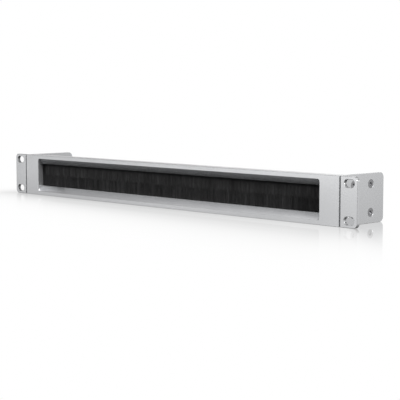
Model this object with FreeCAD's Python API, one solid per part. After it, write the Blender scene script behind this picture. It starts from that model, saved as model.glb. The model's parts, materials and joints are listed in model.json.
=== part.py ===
import FreeCAD, Part
import math
import os

# Rack brush strip panel, one rack unit high.
# Millimetres. +X to the right seen from the front, +Y back into the rack, +Z up.
# The origin is the centre of the four rack slots, on the rear face of the two
# ears, which is the face that meets the rack rails.

V = FreeCAD.Vector

# ---- driving dimensions -------------------------------------------------
panel_w = 482.6            # over both ears (19 inch)
panel_h = 43.7             # one rack unit less clearance
ear_t = 3.5                # ear plate, front to back
slot_dx = 465.2            # slot centre to slot centre across
slot_dz = 31.75            # slot centre to slot centre up and down
slot_len = 11.2
slot_h = 7.0
ear_corner_r = 4.0

gap_in = 221.9             # half width of the bezel plate
gap_out = 223.2            # half width where the ear plate starts
flange_out = 222.0         # outer face of the bracket's side flange
flange_t = 2.0
neck_front = -1.8          # front of the bracket's neck behind the bezel edge
flange_end = 58.4          # rear end of the flange
flange_corner_r = 4.5

bezel_t = 1.5              # bezel front plate
mouth_hw = 200.3           # half width of the mouth
mouth_front_hh = 17.95     # half height of the mouth on the front face
mouth_rear_hh = 12.05      # half height of the mouth at its inner rim
mouth_depth = 6.5
mouth_corner_r = 2.2       # where the sloping walls meet the end walls
mouth_wall = 1.5           # measured square to the sloping wall
side_wall = 1.8
return_t = 1.6             # top and bottom returns of the bezel
return_end = 8.2           # rear edge of the returns
boss_r = 2.75
boss_z = 17.6
boss_bore_end = -0.3
screw_xs = [-192.0, -128.0, -64.0, 0.0, 64.0, 128.0, 192.0]

sheet_t = 1.5              # chassis sheet
wall_out = 220.0           # outer face of the chassis side wall
wall_end = 58.2
web_hh = 20.1
window_hw = 202.9
window_hh = 12.3
bend_in = 1.0

side_ys = [16.1, 40.1]     # bracket screws, from the rear face of the ears
side_zs = [-12.5, 12.5]

brush_hl = 206.0           # half length of the brush strips
chan_w = 3.2               # strip channel, front to back
chan_h = 3.0
chan_t = 0.45
wire_r = 0.5
bristle_t = 2.3
bristle_gap = 0.15         # half the parting between the two rows

bar_rear = 9.5
bar_low = 12.0
bar_lip = 21.2

y_face = -ear_t
y_rim = y_face + mouth_depth          # 3.0, front face of the chassis web
y_web = y_rim + sheet_t               # 4.5, rear face of the chassis web
hh = panel_h / 2.0
chan_z0 = 12.35
chan_z1 = chan_z0 + chan_h
y_chan = y_web + chan_w               # 7.7, rear of the strip channel
y_mid = y_web + chan_w / 2.0          # 6.1, middle of the strip


# ---- helpers ------------------------------------------------------------
def box(x0, y0, z0, x1, y1, z1):
    return Part.makeBox(x1 - x0, y1 - y0, z1 - z0, V(x0, y0, z0))


def rod(r, length, base, direction):
    return Part.makeCylinder(r, length, base, direction)


def prism_x(points, x0, x1):
    """Closed (y, z) outline pushed along X."""
    wire = Part.makePolygon([V(x0, y, z) for y, z in points] + [V(x0, points[0][0], points[0][1])])
    return Part.Face(wire).extrude(V(x1 - x0, 0, 0))


def fuse_all(shapes):
    out = shapes[0].fuse(shapes[1:])
    return out.removeSplitter()


def mirror_x(shape):
    return shape.mirror(V(0, 0, 0), V(1, 0, 0))


def mirror_z(shape):
    return shape.mirror(V(0, 0, 0), V(0, 0, 1))


def pick(shape, test):
    """Edges whose every sample point passes the test."""
    found = []
    for e in shape.Edges:
        pts = [e.valueAt(e.FirstParameter + (e.LastParameter - e.FirstParameter) * k / 4.0) for k in range(5)]
        if all(test(p) for p in pts):
            found.append(e)
    return found


def near(a, b, tol=0.02):
    return abs(a - b) < tol


def solid(shape):
    s = shape.Solids
    if len(s) != 1:
        raise RuntimeError("expected one solid, got %d" % len(s))
    return s[0]


def out(name, shape):
    if not shape.isValid():
        raise RuntimeError(name + " is not valid")
    shape.exportStep("parts/" + name + ".step")
    bb = shape.BoundBox
    print("%-22s solids %2d  vol %9.1f mm3  x %.2f..%.2f  y %.2f..%.2f  z %.2f..%.2f" % (
        name, len(shape.Solids), shape.Volume, bb.XMin, bb.XMax, bb.YMin, bb.YMax, bb.ZMin, bb.ZMax))


# ---- front bezel --------------------------------------------------------
def slope_z(y):
    """Height of the upper mouth wall at depth y."""
    k = (mouth_front_hh - mouth_rear_hh) / mouth_depth
    return mouth_front_hh - k * (y - y_face)


def make_bezel():
    k = (mouth_front_hh - mouth_rear_hh) / mouth_depth
    rise = mouth_wall * math.sqrt(1.0 + k * k)      # wall thickness measured along Z
    y_back = y_face + bezel_t
    plate = box(-gap_in, y_face, -hh, gap_in, y_back, hh)
    parts = [plate]
    half = []
    # top return, full width in front and narrower where the side walls pass
    half.append(box(-wall_out + 0.1, y_face, hh - return_t, wall_out - 0.1, y_rim - 0.1, hh))
    half.append(box(-217.2, y_face, hh - return_t, 217.2, return_end, hh))
    # sloping wall of the mouth
    half.append(prism_x([(y_back - 0.2, slope_z(y_back - 0.2)), (y_rim, mouth_rear_hh),
                         (y_rim, mouth_rear_hh + rise), (y_back - 0.2, slope_z(y_back - 0.2) + rise)],
                        -mouth_hw - side_wall, mouth_hw + side_wall))
    for x in screw_xs:
        half.append(rod(boss_r, y_rim - y_back + 0.2, V(x, y_back - 0.2, boss_z), V(0, 1, 0)))
    # ribs that stiffen the two ends of the plate
    for x in (-209.5, 209.5):
        half.append(box(x - 0.75, y_back - 0.2, 6.0, x + 0.75, y_back + 2.6, hh - return_t + 0.2))
    parts += half + [mirror_z(h) for h in half]
    # upright walls at the two ends of the mouth
    zt = mouth_rear_hh + rise
    for s in (-1, 1):
        xa, xb = sorted((s * mouth_hw, s * (mouth_hw + side_wall)))
        outline = [(y_back - 0.2, -slope_z(y_back - 0.2) - rise), (y_rim, -zt), (y_rim, zt),
                   (y_back - 0.2, slope_z(y_back - 0.2) + rise)]
        parts.append(prism_x(outline, xa, xb))
        # closing wall beside the bracket
        xa, xb = sorted((s * 217.9, s * (wall_out - 0.1)))
        parts.append(box(xa, y_back - 0.2, -hh, xb, y_rim - 0.1, hh))
    body = fuse_all(parts)
    # the mouth itself, with softened corners where its walls meet
    ext = 0.6
    cutter = prism_x([(y_face - ext, slope_z(y_face - ext)), (y_rim + ext, slope_z(y_rim + ext)),
                      (y_rim + ext, -slope_z(y_rim + ext)), (y_face - ext, -slope_z(y_face - ext))],
                     -mouth_hw, mouth_hw)
    slant = pick(cutter, lambda p: near(abs(p.x), mouth_hw) and near(abs(p.z), slope_z(p.y), 0.05))
    cutter = cutter.makeFillet(mouth_corner_r, slant)
    body = body.cut(cutter)
    bores = []
    for x in screw_xs:
        for s in (-1, 1):
            bores.append(rod(1.5, y_rim - boss_bore_end + 0.1, V(x, boss_bore_end, s * boss_z), V(0, 1, 0)))
            bores.append(Part.makeCone(1.5, 1.8, 0.31, V(x, y_rim - 0.3, s * boss_z), V(0, 1, 0)))
    body = body.cut(bores[0].fuse(bores[1:]))
    body = solid(body.removeSplitter())
    # soft edge round the outside of the front face and round the mouth
    rim = pick(body, lambda p: near(p.y, y_face) and (near(abs(p.x), gap_in) or near(abs(p.z), hh)))
    body = body.makeFillet(0.25, rim)
    inner = pick(body, lambda p: near(p.y, y_face) and abs(p.x) < mouth_hw + 0.1 and abs(p.z) < mouth_front_hh + 0.1)
    body = body.makeFillet(0.15, inner)
    tail = pick(body, lambda p: near(p.y, return_end) and near(abs(p.z), hh))
    body = body.makeFillet(0.3, tail)
    return solid(body)


# ---- chassis frame: one folded sheet, web with window and two side walls -
def make_chassis():
    w, t, r = wall_out, sheet_t, bend_in
    ro = r + t

    def arc(cx, cy, rad, a0, a1):
        a0, a1 = math.radians(a0), math.radians(a1)
        am = 0.5 * (a0 + a1)
        p = [V(cx + rad * math.cos(a), cy + rad * math.sin(a), -hh) for a in (a0, am, a1)]
        return Part.Arc(*p).toShape(), p[0], p[2]

    c = w - ro
    yc = y_rim + ro
    a1, p1, p2 = arc(c, yc, ro, 0, -90)          # right outer bend
    a2, p3, p4 = arc(-c, yc, ro, -90, -180)      # left outer bend
    a3, p5, p6 = arc(-c, yc, r, 180, 270)        # left inner bend
    a4, p7, p8 = arc(c, yc, r, 270, 360)         # right inner bend
    e = [Part.makeLine(V(w, wall_end, -hh), p1), a1, Part.makeLine(p2, p3), a2,
         Part.makeLine(p4, V(-w, wall_end, -hh)),
         Part.makeLine(V(-w, wall_end, -hh), V(-w + t, wall_end, -hh)),
         Part.makeLine(V(-w + t, wall_end, -hh), p5), a3, Part.makeLine(p6, p7), a4,
         Part.makeLine(p8, V(w - t, wall_end, -hh)),
         Part.makeLine(V(w - t, wall_end, -hh), V(w, wall_end, -hh))]
    wire = Part.Wire(Part.__sortEdges__(e))
    body = Part.Face(wire).extrude(V(0, 0, panel_h))
    # rear corners of the side walls
    corner = pick(body, lambda p: near(p.y, wall_end) and near(abs(p.z), hh) and abs(p.x) > w - t - 0.1)
    body = body.makeFillet(flange_corner_r, corner)
    cuts = []
    for s in (-1, 1):
        z0, z1 = sorted((s * web_hh, s * (hh + 1)))
        cuts.append(box(-217.4, y_rim - 1, z0, 217.4, y_rim + 8, z1))      # room for the bezel's returns
        for x in screw_xs:
            cuts.append(rod(1.7, 4.0, V(x, y_rim - 1, s * boss_z), V(0, 1, 0)))
        for y in side_ys:
            for z in side_zs:
                cuts.append(rod(2.7, 6.0, V(s * (w - 4.0), y, z), V(s, 0, 0)))
    cuts.append(box(-window_hw, y_rim - 1, -window_hh, window_hw, y_web + 1, window_hh))
    body = body.cut(cuts[0].fuse(cuts[1:]))
    body = solid(body)
    win = pick(body, lambda p: near(abs(p.x), window_hw) and near(abs(p.z), window_hh) and y_rim - 0.01 < p.y < y_web + 0.01)
    body = body.makeFillet(1.0, win)
    return solid(body)


# ---- rack bracket: extruded L section, cut to height --------------------
def make_bracket():
    """Right-hand bracket."""
    x1 = panel_w / 2.0
    fo, fi = flange_out, flange_out - flange_t
    pts = [(gap_out, y_face), (x1, y_face), (x1, 0), (fo, 0), (fo, flange_end), (fi, flange_end),
           (fi, neck_front), (gap_out, neck_front)]
    wire = Part.makePolygon([V(x, y, -hh) for x, y in pts] + [V(pts[0][0], pts[0][1], -hh)])
    body = Part.Face(wire).extrude(V(0, 0, panel_h))
    body = body.makeFillet(1.0, pick(body, lambda p: near(p.x, fo) and near(p.y, 0)))
    body = body.makeFillet(ear_corner_r, pick(body, lambda p: near(p.x, x1) and near(abs(p.z), hh)))
    body = body.makeFillet(flange_corner_r, pick(body, lambda p: near(p.y, flange_end) and near(abs(p.z), hh)))
    cuts = []
    for s in (-1, 1):
        cx, cz = slot_dx / 2.0, s * slot_dz / 2.0
        r = slot_h / 2.0
        a = slot_len / 2.0 - r
        c = box(cx - a, y_face - 1, cz - r, cx + a, 1, cz + r)
        c = c.fuse([rod(r, ear_t + 2, V(cx - a, y_face - 1, cz), V(0, 1, 0)),
                    rod(r, ear_t + 2, V(cx + a, y_face - 1, cz), V(0, 1, 0))]).removeSplitter()
        cuts.append(c)
    for y in side_ys:
        for z in side_zs:
            cuts.append(rod(2.2, flange_t + 2, V(fo + 1, y, z), V(-1, 0, 0)))
            cuts.append(Part.makeCone(5.0, 2.2, 2.8, V(fo + 1.0, y, z), V(-1, 0, 0)))
    body = body.cut(cuts[0].fuse(cuts[1:]))
    body = solid(body.removeSplitter())
    front = pick(body, lambda p: near(p.y, y_face))
    body = body.makeFillet(0.35, front)
    # soft edge round the rear of the ear and the outer face of the flange
    def skin(p):
        on_ear = near(p.y, 0) and p.x > fo + 0.98
        on_flange = near(p.x, fo) and p.y > 0.98
        on_bend = abs(math.hypot(p.x - fo - 1.0, p.y - 1.0) - 1.0) < 0.02 and near(abs(p.z), hh)
        return on_ear or on_flange or on_bend
    chain = [e for e in pick(body, skin) if e.Curve.TypeId != "Part::GeomCircle" or e.Curve.Radius < 4.1 or near(e.Curve.Radius, flange_corner_r)]
    chain = [e for e in chain if not (e.Curve.TypeId == "Part::GeomCircle" and near(abs(e.Curve.Center.z), 12.5))]
    chain = [e for e in chain if not (near(e.valueAt(e.FirstParameter).z, -e.valueAt(e.LastParameter).z) and near(e.valueAt(e.FirstParameter).x, e.valueAt(e.LastParameter).x) and e.valueAt(e.FirstParameter).y < 2.0 and e.valueAt(e.FirstParameter).x < fo + 1.5)]
    body = body.makeFillet(0.25, chain)
    return solid(body)


# ---- fasteners ----------------------------------------------------------
def lobes(r_ring, r_lobe, depth, base, direction):
    """Six-lobed drive recess."""
    d = V(direction)
    u = V(0, 0, 1)
    w = d.cross(u)
    tool = rod(r_ring, depth, base, d)
    extra = []
    for k in range(6):
        a = math.radians(60 * k + 30)
        off = u * (r_ring * math.cos(a)) + w * (r_ring * math.sin(a))
        extra.append(rod(r_lobe, depth, base + off, d))
    return tool.fuse(extra).removeSplitter()


def csk_screw(y, z):
    """M4 x 6 countersunk screw, driven towards -X from the right-hand bracket."""
    x0 = flange_out - 0.15
    d = V(-1, 0, 0)
    head = Part.makeCone(3.85, 1.95, 1.9, V(x0, y, z), d)
    shank = rod(1.95, 5.6, V(x0, y, z), d)
    tip = Part.makeCone(1.95, 1.55, 0.4, V(x0 - 5.6, y, z), d)
    s = fuse_all([head, shank, tip])
    rimless = s.cut(lobes(1.42, 0.5, 1.7, V(x0 + 0.2, y, z), d))
    return solid(rimless)


def clinch_nut(y, z):
    """M4 self-clinching nut in the right-hand side wall."""
    xi = wall_out - sheet_t
    collar = rod(2.7, sheet_t - 0.1, V(xi, y, z), V(1, 0, 0))
    body = rod(3.95, 2.2, V(xi - 2.2, y, z), V(1, 0, 0))
    body = body.makeChamfer(0.25, pick(body, lambda p: near(p.x, xi - 2.2)))
    s = fuse_all([collar, body])
    s = s.cut(rod(2.0, 8, V(xi - 4, y, z), V(1, 0, 0)))
    s = s.cut(Part.makeCone(2.3, 2.0, 0.3, V(xi - 2.2, y, z), V(1, 0, 0)))
    return solid(s)


def pan_screw(x, z):
    """M3 x 10 pan-head screw, driven towards -Y."""
    y0 = bar_rear + 0.5
    head = rod(2.8, 2.1, V(x, y0, z), V(0, 1, 0))
    head = head.makeFillet(0.9, pick(head, lambda p: near(p.y, y0 + 2.1)))
    shank = rod(1.45, 9.6, V(x, y0 - 9.6, z), V(0, 1, 0))
    tip = Part.makeCone(1.1, 1.45, 0.4, V(x, y0 - 10.0, z), V(0, 1, 0))
    s = fuse_all([head, shank, tip])
    s = s.cut(lobes(1.0, 0.36, 1.3, V(x, y0 + 2.3, z), V(0, -1, 0)))
    return solid(s)


def washer(x, z):
    w = rod(3.0, 0.5, V(x, bar_rear, z), V(0, 1, 0))
    return solid(w.cut(rod(1.6, 1.0, V(x, bar_rear - 0.2, z), V(0, 1, 0))))


# ---- brush parts --------------------------------------------------------
def make_bar():
    """Upper clamp bar: stepped aluminium extrusion behind the web."""
    pts = [(y_web, chan_z1), (y_web, web_hh), (return_end + 0.2, web_hh), (return_end + 0.2, bar_lip),
           (bar_rear, bar_lip), (bar_rear, bar_low), (y_chan, bar_low), (y_chan, chan_z1)]
    bar = prism_x(pts, -brush_hl, brush_hl)
    bar = bar.makeFillet(0.5, pick(bar, lambda p: near(p.y, bar_rear) and (near(p.z, bar_lip) or near(p.z, bar_low))))
    holes = [rod(1.7, 8, V(x, y_web - 1, boss_z), V(0, 1, 0)) for x in screw_xs]
    return solid(bar.cut(holes[0].fuse(holes[1:])))


def make_channel():
    """Upper strip channel, folded steel, open side down."""
    o = box(-brush_hl, y_web, chan_z0, brush_hl, y_chan, chan_z1)
    o = o.makeFillet(0.9, [e for e in o.Edges if near(e.Length, 2 * brush_hl, 0.1) and near(e.valueAt(e.FirstParameter).z, chan_z1)])
    i = box(-brush_hl - 1, y_web + chan_t, chan_z0 - 1, brush_hl + 1, y_chan - chan_t, chan_z1 - chan_t)
    i = i.makeFillet(0.45, [e for e in i.Edges if near(e.Length, 2 * brush_hl + 2, 0.1) and near(e.valueAt(e.FirstParameter).z, chan_z1 - chan_t)])
    return solid(o.cut(i))


wire_z = chan_z1 - chan_t - 0.15 - wire_r


def make_wire():
    return rod(wire_r, 2 * brush_hl, V(-brush_hl, y_mid, wire_z), V(1, 0, 0))


def make_bristles():
    """Upper row of nylon filaments, folded over the core wire."""
    b = box(-brush_hl, y_mid - bristle_t / 2.0, bristle_gap, brush_hl, y_mid + bristle_t / 2.0, chan_z1 - chan_t)
    b = b.makeFillet(0.6, [e for e in b.Edges if near(e.Length, 2 * brush_hl, 0.1) and e.valueAt(e.FirstParameter).z > chan_z0])
    return solid(b.cut(rod(wire_r, 2 * brush_hl + 2, V(-brush_hl - 1, y_mid, wire_z), V(1, 0, 0))))


# ---- build --------------------------------------------------------------
if __name__ == "__main__":
    os.makedirs("parts", exist_ok=True)
    out("front_bezel", make_bezel())
    out("chassis_frame", make_chassis())
    right = make_bracket()
    out("right_rack_bracket", right)
    out("left_rack_bracket", mirror_x(right))
    screws = [csk_screw(y, z) for y in side_ys for z in side_zs]
    nuts = [clinch_nut(y, z) for y in side_ys for z in side_zs]
    out("bracket_screws", Part.makeCompound(screws + [mirror_x(s) for s in screws]))
    out("clinch_nuts", Part.makeCompound(nuts + [mirror_x(n) for n in nuts]))
    bar = make_bar()
    out("upper_clamp_bar", bar)
    out("lower_clamp_bar", mirror_z(bar))
    chan = make_channel()
    out("upper_brush_channel", chan)
    out("lower_brush_channel", mirror_z(chan))
    core = make_wire()
    out("upper_core_wire", core)
    out("lower_core_wire", mirror_z(core))
    brush = make_bristles()
    out("upper_bristles", brush)
    out("lower_bristles", mirror_z(brush))
    out("clamp_screws", Part.makeCompound([pan_screw(x, s * boss_z) for s in (1, -1) for x in screw_xs]))
    out("clamp_washers", Part.makeCompound([washer(x, s * boss_z) for s in (1, -1) for x in screw_xs]))
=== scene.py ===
import json
import math

import bpy
import numpy as np
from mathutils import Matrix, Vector


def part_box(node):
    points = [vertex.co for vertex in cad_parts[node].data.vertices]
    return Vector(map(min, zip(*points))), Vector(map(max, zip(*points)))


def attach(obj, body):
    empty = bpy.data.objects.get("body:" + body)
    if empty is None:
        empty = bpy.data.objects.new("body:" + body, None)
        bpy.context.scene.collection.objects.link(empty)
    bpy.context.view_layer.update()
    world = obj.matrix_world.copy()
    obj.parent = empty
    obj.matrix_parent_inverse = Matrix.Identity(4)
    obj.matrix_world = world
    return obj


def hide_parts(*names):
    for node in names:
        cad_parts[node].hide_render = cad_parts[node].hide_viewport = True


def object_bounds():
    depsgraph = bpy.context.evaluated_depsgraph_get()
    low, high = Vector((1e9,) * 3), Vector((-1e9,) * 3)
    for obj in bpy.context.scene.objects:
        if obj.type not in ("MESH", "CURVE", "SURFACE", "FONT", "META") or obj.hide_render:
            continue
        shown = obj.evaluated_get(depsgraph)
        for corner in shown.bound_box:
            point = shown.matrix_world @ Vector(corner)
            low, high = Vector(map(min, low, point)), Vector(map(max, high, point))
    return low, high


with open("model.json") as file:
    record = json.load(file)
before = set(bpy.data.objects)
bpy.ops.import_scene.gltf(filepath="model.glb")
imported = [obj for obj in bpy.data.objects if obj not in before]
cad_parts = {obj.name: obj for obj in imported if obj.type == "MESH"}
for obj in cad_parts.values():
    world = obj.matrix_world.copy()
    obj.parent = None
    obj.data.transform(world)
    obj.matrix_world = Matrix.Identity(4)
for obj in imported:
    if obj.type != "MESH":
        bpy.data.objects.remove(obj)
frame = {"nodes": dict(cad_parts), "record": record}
cad_lo, cad_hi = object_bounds()

scene = bpy.context.scene
FLOOR_Z = cad_lo.z - 0.00005


# ---------------------------------------------------------------- camera
def make_camera():
    yaw, pitch = math.radians(45.52), math.radians(5.51)
    data = bpy.data.cameras.new("camera")
    data.sensor_width = 36.0
    data.lens = 1170.86 / 400.0 * 36.0
    data.clip_start, data.clip_end = 0.05, 40.0
    cam = bpy.data.objects.new("camera", data)
    scene.collection.objects.link(cam)
    back = Vector((math.sin(yaw) * math.cos(pitch), -math.cos(yaw) * math.cos(pitch), math.sin(pitch)))
    cam.location = (0.8429, -0.7782, 0.0964)
    cam.rotation_mode = "QUATERNION"
    cam.rotation_quaternion = (-back).to_track_quat("-Z", "Y")
    scene.camera = cam


make_camera()


# ---------------------------------------------------------------- node helpers
class Tree:
    """Small helper to build a material's node tree."""

    def __init__(self, name):
        self.mat = bpy.data.materials.new(name)
        self.mat.use_nodes = True
        self.t = self.mat.node_tree
        self.t.nodes.clear()
        self.out = self.node("ShaderNodeOutputMaterial")
        self.coord = self.node("ShaderNodeTexCoord")

    def node(self, kind, **values):
        n = self.t.nodes.new(kind)
        for key, value in values.items():
            if hasattr(n, key):
                setattr(n, key, value)
        return n

    def link(self, a, b):
        self.t.links.new(a, b)

    def mapping(self, scale, source=None):
        m = self.node("ShaderNodeMapping")
        m.inputs["Scale"].default_value = scale
        self.link(source or self.coord.outputs["Object"], m.inputs["Vector"])
        return m.outputs["Vector"]

    def noise(self, scale, detail=3.0, rough=0.5, vector=None, distortion=0.0):
        n = self.node("ShaderNodeTexNoise")
        n.inputs["Scale"].default_value = scale
        n.inputs["Detail"].default_value = detail
        n.inputs["Roughness"].default_value = rough
        n.inputs["Distortion"].default_value = distortion
        self.link(vector or self.coord.outputs["Object"], n.inputs["Vector"])
        return n.outputs["Fac"]

    def voronoi(self, scale, vector=None, feature="F1"):
        n = self.node("ShaderNodeTexVoronoi", feature=feature)
        n.inputs["Scale"].default_value = scale
        self.link(vector or self.coord.outputs["Object"], n.inputs["Vector"])
        return n.outputs["Distance"]

    def ramp(self, value, stops):
        n = self.node("ShaderNodeValToRGB")
        cr = n.color_ramp
        while len(cr.elements) < len(stops):
            cr.elements.new(0.5)
        for e, (pos, col) in zip(cr.elements, stops):
            e.position = pos
            e.color = (col[0], col[1], col[2], 1.0) if hasattr(col, "__len__") else (col, col, col, 1.0)
        self.link(value, n.inputs["Fac"])
        return n.outputs["Color"]

    def span(self, value, lo, hi, a=0.0, b=1.0):
        n = self.node("ShaderNodeMapRange")
        n.inputs["From Min"].default_value = a
        n.inputs["From Max"].default_value = b
        n.inputs["To Min"].default_value = lo
        n.inputs["To Max"].default_value = hi
        self.link(value, n.inputs["Value"])
        return n.outputs["Result"]

    def math(self, op, a, b=None):
        n = self.node("ShaderNodeMath", operation=op)
        for k, v in enumerate((a, b)):
            if v is None:
                continue
            if isinstance(v, (int, float)):
                n.inputs[k].default_value = v
            else:
                self.link(v, n.inputs[k])
        return n.outputs["Value"]

    def mix(self, fac, a, b, blend="MIX"):
        n = self.node("ShaderNodeMix", data_type="RGBA", blend_type=blend)
        if isinstance(fac, (int, float)):
            n.inputs["Factor"].default_value = fac
        else:
            self.link(fac, n.inputs["Factor"])
        for name, v in (("A", a), ("B", b)):
            sock = [s for s in n.inputs if s.name == name and s.type == "RGBA"][0]
            if hasattr(v, "__len__"):
                sock.default_value = (v[0], v[1], v[2], 1.0)
            else:
                self.link(v, sock)
        return [s for s in n.outputs if s.type == "RGBA"][0]

    def bump(self, height, strength, distance, normal=None):
        n = self.node("ShaderNodeBump")
        n.inputs["Strength"].default_value = strength
        n.inputs["Distance"].default_value = distance
        self.link(height, n.inputs["Height"])
        if normal is not None:
            self.link(normal, n.inputs["Normal"])
        return n.outputs["Normal"]

    def principled(self, **values):
        n = self.node("ShaderNodeBsdfPrincipled")
        for key, value in values.items():
            sock = n.inputs[key]
            if isinstance(value, bpy.types.NodeSocket):
                self.link(value, sock)
            else:
                sock.default_value = value
        self.link(n.outputs["BSDF"], self.out.inputs["Surface"])
        return n


def silver_paint(name, tint, metallic, rough, seed):
    """Satin silver powder coat: fine metallic grain, a faint orange-peel surface."""
    t = Tree(name)
    shifted = t.node("ShaderNodeMapping")
    shifted.inputs["Location"].default_value = (seed * 0.37, seed * 0.11, seed * 0.23)
    t.link(t.coord.outputs["Object"], shifted.inputs["Vector"])
    v = shifted.outputs["Vector"]
    flake = t.noise(5200.0, 2.0, 0.6, v)
    cloud = t.noise(28.0, 3.0, 0.55, v)
    peel = t.noise(900.0, 2.0, 0.5, v)
    a = tuple(c * 0.955 for c in tint)
    b = tuple(min(1.0, c * 1.045) for c in tint)
    col = t.ramp(flake, [(0.30, a), (0.70, b)])
    col = t.mix(t.span(cloud, 0.0, 0.35, 0.35, 0.75), col, tuple(c * 0.93 for c in tint))
    r = t.span(t.math("ADD", t.math("MULTIPLY", flake, 0.4), t.math("MULTIPLY", cloud, 0.6)), rough - 0.035, rough + 0.035, 0.3, 0.7)
    n = t.bump(peel, 0.10, 0.00006)
    n = t.bump(flake, 0.12, 0.00002, n)
    t.principled(**{"Base Color": col, "Metallic": metallic, "Roughness": r, "Normal": n})
    return t.mat


def plated(name, tint, rough, scale=1.0):
    """Plated steel: small blotches in the plating and fine scratches."""
    t = Tree(name)
    blotch = t.noise(420.0 * scale, 4.0, 0.6)
    fine = t.noise(3800.0 * scale, 2.0, 0.5)
    scratch = t.noise(1.0, 3.0, 0.6, t.mapping((900.0, 6000.0, 900.0)))
    col = t.ramp(blotch, [(0.25, tuple(c * 0.86 for c in tint)), (0.55, tint), (0.8, tuple(min(1, c * 1.1) for c in tint))])
    r = t.span(t.math("ADD", t.math("MULTIPLY", blotch, 0.5), t.math("MULTIPLY", scratch, 0.5)), rough - 0.08, rough + 0.08, 0.3, 0.7)
    n = t.bump(fine, 0.12, 0.00002)
    n = t.bump(scratch, 0.10, 0.00001, n)
    t.principled(**{"Base Color": col, "Metallic": 1.0, "Roughness": r, "Normal": n})
    return t.mat


def extruded(name, tint, rough):
    """Mill-finish aluminium extrusion: die lines along X."""
    t = Tree(name)
    lines = t.noise(1.0, 4.0, 0.65, t.mapping((6.0, 4200.0, 4200.0)))
    wide = t.noise(1.0, 2.0, 0.5, t.mapping((3.0, 500.0, 500.0)))
    cloud = t.noise(60.0, 3.0, 0.5)
    col = t.ramp(lines, [(0.25, tuple(c * 0.88 for c in tint)), (0.75, tuple(min(1, c * 1.06) for c in tint))])
    col = t.mix(t.span(cloud, 0.0, 0.25, 0.35, 0.75), col, tuple(c * 0.85 for c in tint))
    r = t.span(t.math("ADD", t.math("MULTIPLY", lines, 0.6), t.math("MULTIPLY", cloud, 0.4)), rough - 0.07, rough + 0.07, 0.3, 0.7)
    n = t.bump(lines, 0.18, 0.00003)
    n = t.bump(wide, 0.10, 0.00008, n)
    t.principled(**{"Base Color": col, "Metallic": 1.0, "Roughness": r, "Normal": n})
    return t.mat


def galvanised(name, tint, rough):
    """Galvanised strip: spangle cells and rolling lines along X."""
    t = Tree(name)
    cells = t.node("ShaderNodeTexVoronoi", feature="F1")
    cells.inputs["Scale"].default_value = 420.0
    t.link(t.coord.outputs["Object"], cells.inputs["Vector"])
    grey = t.node("ShaderNodeRGBToBW")
    t.link(cells.outputs["Color"], grey.inputs["Color"])
    lines = t.noise(1.0, 3.0, 0.6, t.mapping((10.0, 3000.0, 3000.0)))
    col = t.ramp(grey.outputs["Val"], [(0.2, tuple(c * 0.84 for c in tint)), (0.8, tuple(min(1, c * 1.08) for c in tint))])
    r = t.span(t.math("ADD", t.math("MULTIPLY", grey.outputs["Val"], 0.5), t.math("MULTIPLY", lines, 0.5)), rough - 0.08, rough + 0.08, 0.2, 0.8)
    n = t.bump(lines, 0.15, 0.00002)
    t.principled(**{"Base Color": col, "Metallic": 1.0, "Roughness": r, "Normal": n})
    return t.mat


def nylon(name):
    """Black nylon filament: every strand has its own shade and gloss."""
    t = Tree(name)
    tone = t.node("ShaderNodeAttribute", attribute_name="shade")
    rnd = tone.outputs["Fac"]
    along = t.noise(1.0, 2.0, 0.5, t.mapping((2500.0, 2500.0, 120.0)))
    col = t.ramp(rnd, [(0.0, (0.0140, 0.0140, 0.0148)), (0.5, (0.029, 0.029, 0.0302)), (0.8, (0.046, 0.046, 0.0475)), (1.0, (0.070, 0.070, 0.072))])
    # painted shade along the strands: darker at the roots, where the rim and the channel shade them, and the hanging
    # row painted lighter than the standing one; the same factor also scales the sheen
    sep = t.node("ShaderNodeSeparateXYZ")
    t.link(t.coord.outputs["Object"], sep.inputs["Vector"])
    height = t.span(sep.outputs["Z"], 0.0, 1.0, -0.0115, 0.0115)
    painted_shade = t.ramp(height, [(0.0, 0.69), (0.152, 0.63), (0.283, 0.66), (0.413, 0.71), (0.478, 0.78), (0.522, 0.90), (0.565, 0.98),
                           (0.739, 1.0), (0.826, 0.97), (0.870, 0.87), (0.913, 0.69), (0.957, 0.34), (1.0, 0.20)])
    col = t.mix(1.0, col, painted_shade, "MULTIPLY")
    gloss = t.math("MULTIPLY", painted_shade, 0.64)
    r = t.math("ADD", t.span(rnd, 0.40, 0.55), t.span(along, -0.06, 0.06, 0.3, 0.7))
    t.principled(**{"Base Color": col, "Metallic": 0.0, "Roughness": r, "Specular IOR Level": gloss})
    return t.mat


MATS = {
    "bezel_paint": silver_paint("bezel_paint", (0.56, 0.565, 0.575), 0.84, 0.21, 1.0),
    "bracket_paint": silver_paint("bracket_paint", (0.56, 0.565, 0.575), 0.84, 0.21, 2.0),
    "chassis_paint": silver_paint("chassis_paint", (0.54, 0.545, 0.555), 0.84, 0.23, 3.0),
    "screw_steel": plated("screw_steel", (0.40, 0.40, 0.41), 0.30),
    "nut_zinc": plated("nut_zinc", (0.62, 0.63, 0.65), 0.30, 0.8),
    "clamp_aluminium": extruded("clamp_aluminium", (0.68, 0.69, 0.70), 0.36),
    "strip_steel": galvanised("strip_steel", (0.58, 0.59, 0.60), 0.36),
    "bristle_nylon": nylon("bristle_nylon"),
}


def dress_cad():
    for part in frame["record"]["subparts"]:
        o = frame["nodes"][part["node"]]
        o.data.materials.clear()
        o.data.materials.append(MATS[part["material_slot"]])


dress_cad()


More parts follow.
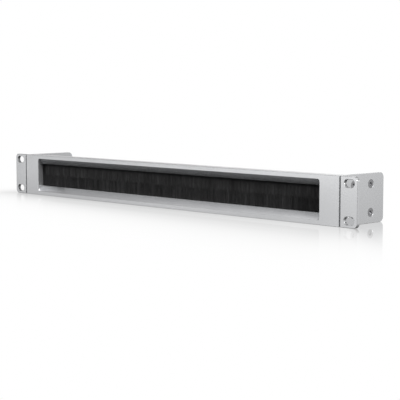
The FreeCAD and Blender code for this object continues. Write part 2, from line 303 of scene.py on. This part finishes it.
# ---------------------------------------------------------------- bristles
def bristle_row(name, node, up, seed):
    """A row of separate filaments standing in the space of the CAD slab.
    up is +1 for the row that hangs from the top and -1 for the row that stands on the bottom.
    The filaments stand in bundles, each with its own lean, depth and length, and the tips of the two rows interlace."""
    lo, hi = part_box(node)
    rng = np.random.default_rng(seed)
    root_z = up * 0.01430
    r = 0.00013
    n = 8900
    x = np.sort(rng.uniform(lo.x + r, hi.x - r, n))
    edges = np.cumsum(rng.uniform(0.0004, 0.0026, 700)) + lo.x
    k = np.searchsorted(edges, x)
    nb = len(edges) + 1
    b_lean = rng.normal(0.0, 0.00016, nb)
    b_short = np.where(rng.random(nb) < 0.10, rng.uniform(0.0001, 0.0004, nb), 0.0)
    b_depth = rng.normal(0.0, 0.00016, nb)
    mid = (hi.y + lo.y) / 2
    half = (hi.y - lo.y) / 2 - r * 1.3
    depth = rng.uniform(-1, 1, n)
    depth = np.where(rng.random(n) < 0.6, np.sign(depth) * (1 - depth ** 2 * 0.4), depth)
    y_root = mid + depth * half * 0.93
    y_tip = y_root + b_depth[k] + rng.normal(0, 0.00007, n)
    x_tip = x + b_lean[k] + rng.normal(0.0, 0.00010, n)
    z_tip = up * (-0.00065 + b_short[k] + rng.gamma(1.5, 0.00014, n).clip(0, 0.0009))
    bow = rng.normal(0.0, 0.00009, n)
    rr = r * rng.uniform(0.8, 1.1, n)
    a0 = rng.uniform(0, 2 * math.pi, n)
    shade = (0.5 + rng.normal(0.0, 0.30, nb)[k] + rng.normal(0.0, 0.14, n)).clip(0, 1)
    # tightly packed strands in the middle of the row
    step = 0.00040
    nc = int((hi.x - lo.x) / step) - 1
    c_x = lo.x + step * (np.arange(nc) + 1.0)
    c_y = np.full(nc, mid - up * 0.00032)
    x = np.concatenate([x, c_x])
    x_tip = np.concatenate([x_tip, c_x + rng.normal(0, 0.00002, nc)])
    y_root = np.concatenate([y_root, c_y])
    y_tip = np.concatenate([y_tip, c_y])
    z_tip = np.concatenate([z_tip, up * (-0.00030 + rng.uniform(0, 0.00020, nc))])
    bow = np.concatenate([bow, np.zeros(nc)])
    rr = np.concatenate([rr, np.full(nc, 0.00030)])
    a0 = np.concatenate([a0, np.full(nc, math.pi / 4)])
    shade = np.concatenate([shade, np.full(nc, 0.3)])
    n += nc
    levels = np.array((0.0, 0.55, 1.0))
    sides = 4
    q = levels[None, :, None]
    ang = a0[:, None, None] + (2 * math.pi / sides) * np.arange(sides)[None, None, :]
    w = rr[:, None, None] * np.array((1.0, 1.0, 0.72))[None, :, None]
    cx = x[:, None, None] + (x_tip - x)[:, None, None] * q ** 2 + bow[:, None, None] * np.sin(math.pi * q)
    cy = y_root[:, None, None] + (y_tip - y_root)[:, None, None] * q ** 2
    cz = root_z + (z_tip[:, None, None] - root_z) * q + 0.0 * ang
    px = np.clip(cx + w * np.cos(ang), lo.x, hi.x)
    py = np.clip(cy + w * np.sin(ang), lo.y, hi.y)
    verts = np.stack([px, py, cz], -1).reshape(-1, 3)
    per = []
    for l in range(len(levels) - 1):
        for j in range(sides):
            per.append((l * sides + j, l * sides + (j + 1) % sides, (l + 1) * sides + (j + 1) % sides, (l + 1) * sides + j))
    top = (len(levels) - 1) * sides
    per.append(tuple(top + j for j in range(sides)))
    per.append(tuple(reversed(range(sides))))
    per = np.array(per)
    if up > 0:
        per = per[:, ::-1]
    faces = (per[None] + (np.arange(n) * sides * len(levels))[:, None, None]).reshape(-1, 4)
    me = bpy.data.meshes.new(name)
    me.from_pydata(verts.tolist(), [], faces.tolist())
    me.polygons.foreach_set("use_smooth", np.ones(len(faces), dtype=bool))
    me.update()
    side = np.stack([np.cos(ang) + 0.0 * px, np.sin(ang) + 0.0 * px, 0.0 * px], -1).reshape(-1, 3)
    me.normals_split_custom_set_from_vertices(side.tolist())
    tone = me.attributes.new("shade", "FLOAT", "POINT")
    tone.data.foreach_set("value", np.repeat(shade, sides * len(levels)).astype(np.float32))
    o = bpy.data.objects.new(name, me)
    scene.collection.objects.link(o)
    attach(o, "root")
    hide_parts(node)
    return o


bristle_row("upper_bristle_filaments", "upper_bristles", 1, 11).data.materials.append(MATS["bristle_nylon"])
bristle_row("lower_bristle_filaments", "lower_bristles", -1, 12).data.materials.append(MATS["bristle_nylon"])


# ---------------------------------------------------------------- stage
def make_floor():
    """White floor with a polish that fades away from the object, as on a lit acrylic table, and a painted contact
    shadow that dims its glow close to the object.
    """
    me = bpy.data.meshes.new("studio_floor")
    s = 12.0
    me.from_pydata([(-s, -s, FLOOR_Z), (s, -s, FLOOR_Z), (s, s, FLOOR_Z), (-s, s, FLOOR_Z)], [], [(0, 1, 2, 3)])
    me.update()
    o = bpy.data.objects.new("studio_floor", me)
    scene.collection.objects.link(o)
    t = Tree("studio_floor")
    sep = t.node("ShaderNodeSeparateXYZ")
    t.link(t.coord.outputs["Object"], sep.inputs["Vector"])
    ax = t.math("ABSOLUTE", sep.outputs["X"])

    def outside(value, middle, half):
        return t.math("MAXIMUM", t.math("SUBTRACT", t.math("ABSOLUTE", t.math("SUBTRACT", value, middle)), half), 0.0)

    def polish(d, strength, reach, power):
        e = t.math("POWER", t.math("DIVIDE", d, reach), power)
        return t.math("MULTIPLY", t.math("POWER", 2.718, t.math("MULTIPLY", e, -1.0)), strength)

    def slope(value, gradient, base):
        return t.math("ADD", t.math("MULTIPLY", value, gradient), base)

    # the polish fades with the distance from the front bar, and beside the right flange more slowly
    x, y = sep.outputs["X"], sep.outputs["Y"]
    dx, dy = outside(ax, 0.0, 0.2413), outside(y, -0.0010, 0.0025)
    d = t.math("SQRT", t.math("ADD", t.math("MULTIPLY", dx, dx), t.math("MULTIPLY", dy, dy)))
    held = t.math("MINIMUM", t.math("MAXIMUM", x, -0.40), 0.50)
    front = polish(d, slope(held, -0.333, 0.455), slope(held, 0.07, 0.0504), 1.5)
    beside = t.span(t.math("ADD", x, t.math("MULTIPLY", y, 1.03)), 0.0, 1.0, 0.205, 0.245)
    beside = t.math("MULTIPLY", beside, t.span(x, 0.0, 1.0, 0.2150, 0.2235))
    beside = t.math("MULTIPLY", beside, polish(t.math("MAXIMUM", t.math("SUBTRACT", y, 0.058), 0.0), 1.0, 0.03, 2.0))
    sides = t.math("MULTIPLY", polish(outside(ax, 0.0, 0.2235), 0.72, 0.0804, 2.0), beside)
    fade = t.math("MAXIMUM", front, sides)
    glow = t.node("ShaderNodeEmission")
    glow.inputs["Color"].default_value = (1.0, 1.0, 1.0, 1.0)
    # painted contact shadow: the white glow is dimmed where ambient occlusion finds the object close by
    painted_contact_shadow = t.node("ShaderNodeAmbientOcclusion", samples=16, only_local=False)
    painted_contact_shadow.inputs["Distance"].default_value = 0.006
    t.link(t.span(painted_contact_shadow.outputs["AO"], 0.88, 1.0, 0.35, 1.0), glow.inputs["Strength"])
    gloss = t.node("ShaderNodeBsdfGlossy")
    gloss.inputs["Roughness"].default_value = 0.02
    mix = t.node("ShaderNodeMixShader")
    t.link(fade, mix.inputs["Fac"])
    t.link(glow.outputs["Emission"], mix.inputs[1])
    t.link(gloss.outputs["BSDF"], mix.inputs[2])
    geo = t.node("ShaderNodeNewGeometry")
    clear = t.node("ShaderNodeBsdfTransparent")
    under = t.node("ShaderNodeMixShader")
    t.link(geo.outputs["Backfacing"], under.inputs["Fac"])
    t.link(mix.outputs["Shader"], under.inputs[1])
    t.link(clear.outputs["BSDF"], under.inputs[2])
    t.link(under.outputs["Shader"], t.out.inputs["Surface"])
    me.materials.append(t.mat)
    o.visible_diffuse = False
    o.visible_glossy = False
    o.visible_transmission = False
    o.visible_shadow = False
    return o


make_floor()

# Soft studio dome: smooth lobes of light (elevation, azimuth from the front towards +X, tightness, strength).
LOBES = [
    (-5, 300, 25, 0.950), (-5, 330, 25, 1.620),
    (62, 265, 25, 2.111), (45, 280, 25, 0.449),
    (5, 210, 25, 1.70), (5, 240, 25, 0.88), (42, 175, 25, 0.80),
    (10, 135, 25, 1.142), (10, 125, 25, 0.642), (-5, 145, 25, 0.307),
    (60, 45, 8, 2.30), (53, 71, 25, 4.50), (-10, 45, 8, 0.25), (-5, 70, 25, 1.30),
    (-15, 180, 25, 0.70), (-28, 135, 25, 0.22), (-26, 225, 25, 0.50), (-9, 270, 25, 0.85),
]
# Soft boxes: centre, point faced, width, height, radiance.
BOXES = {
    "box_side": ((0.85, -0.10, 0.28), (0.0, 0.0, 0.0), 0.16, 0.14, 144.0),
    "box_low_left_a": ((-0.55, -0.30, -0.030), (-0.55, 0.0, -0.030), 0.30, 0.030, 0.340),
    "box_low_left_b": ((-0.55, -0.30, 0.0), (-0.55, 0.0, 0.0), 0.30, 0.030, 0.308),
    "box_low_middle": ((-0.30, -0.30, -0.030), (-0.30, 0.0, -0.030), 0.20, 0.030, 1.105),
    "box_low_right": ((-0.115, -0.30, 0.0), (-0.115, 0.0, 0.0), 0.17, 0.030, 0.747),
    "box_low_end": ((0.035, -0.30, 0.0), (0.035, 0.0, 0.0), 0.13, 0.030, 0.640),
}


def make_boxes():
    for name, (loc, aim, w, h, radiance) in BOXES.items():
        data = bpy.data.lights.new(name, "AREA")
        data.shape = "RECTANGLE"
        data.size, data.size_y = w, h
        data.energy = radiance * w * h * math.pi
        o = bpy.data.objects.new(name, data)
        scene.collection.objects.link(o)
        o.location = loc
        o.rotation_mode = "QUATERNION"
        o.rotation_quaternion = (Vector(aim) - Vector(loc)).to_track_quat("-Z", "Y")
        o.visible_camera = False


make_boxes()


def make_world():
    w = bpy.data.worlds.new("studio")
    scene.world = w
    w.use_nodes = True
    t = w.node_tree
    t.nodes.clear()
    out = t.nodes.new("ShaderNodeOutputWorld")
    coord = t.nodes.new("ShaderNodeTexCoord")
    total = None
    for elevation, azimuth, tight, strength in LOBES:
        a, e = math.radians(azimuth), math.radians(elevation)
        direction = (math.sin(a) * math.cos(e), -math.cos(a) * math.cos(e), math.sin(e))
        dot = t.nodes.new("ShaderNodeVectorMath")
        dot.operation = "DOT_PRODUCT"
        dot.inputs[1].default_value = Vector(direction).normalized()
        t.links.new(coord.outputs["Generated"], dot.inputs[0])
        lin = t.nodes.new("ShaderNodeMath")
        lin.operation = "MULTIPLY_ADD"
        lin.inputs[1].default_value = tight
        lin.inputs[2].default_value = -tight
        t.links.new(dot.outputs["Value"], lin.inputs[0])
        ex = t.nodes.new("ShaderNodeMath")
        ex.operation = "EXPONENT"
        t.links.new(lin.outputs["Value"], ex.inputs[0])
        mul = t.nodes.new("ShaderNodeMath")
        mul.operation = "MULTIPLY_ADD"
        mul.inputs[1].default_value = strength
        if total is not None:
            t.links.new(total, mul.inputs[2])
        else:
            mul.inputs[2].default_value = 0.0
        t.links.new(ex.outputs["Value"], mul.inputs[0])
        total = mul.outputs["Value"]
    dome = t.nodes.new("ShaderNodeBackground")
    t.links.new(total, dome.inputs["Strength"])
    back = t.nodes.new("ShaderNodeBackground")
    back.inputs["Color"].default_value = (1.0, 1.0, 1.0, 1.0)
    path = t.nodes.new("ShaderNodeLightPath")
    mix = t.nodes.new("ShaderNodeMixShader")
    t.links.new(path.outputs["Is Camera Ray"], mix.inputs["Fac"])
    t.links.new(dome.outputs["Background"], mix.inputs[1])
    t.links.new(back.outputs["Background"], mix.inputs[2])
    t.links.new(mix.outputs["Shader"], out.inputs["Surface"])


make_world()

scene.view_settings.view_transform = "Standard"
scene.view_settings.look = "None"
scene.view_settings.exposure = 0.0
scene.view_settings.gamma = 1.0
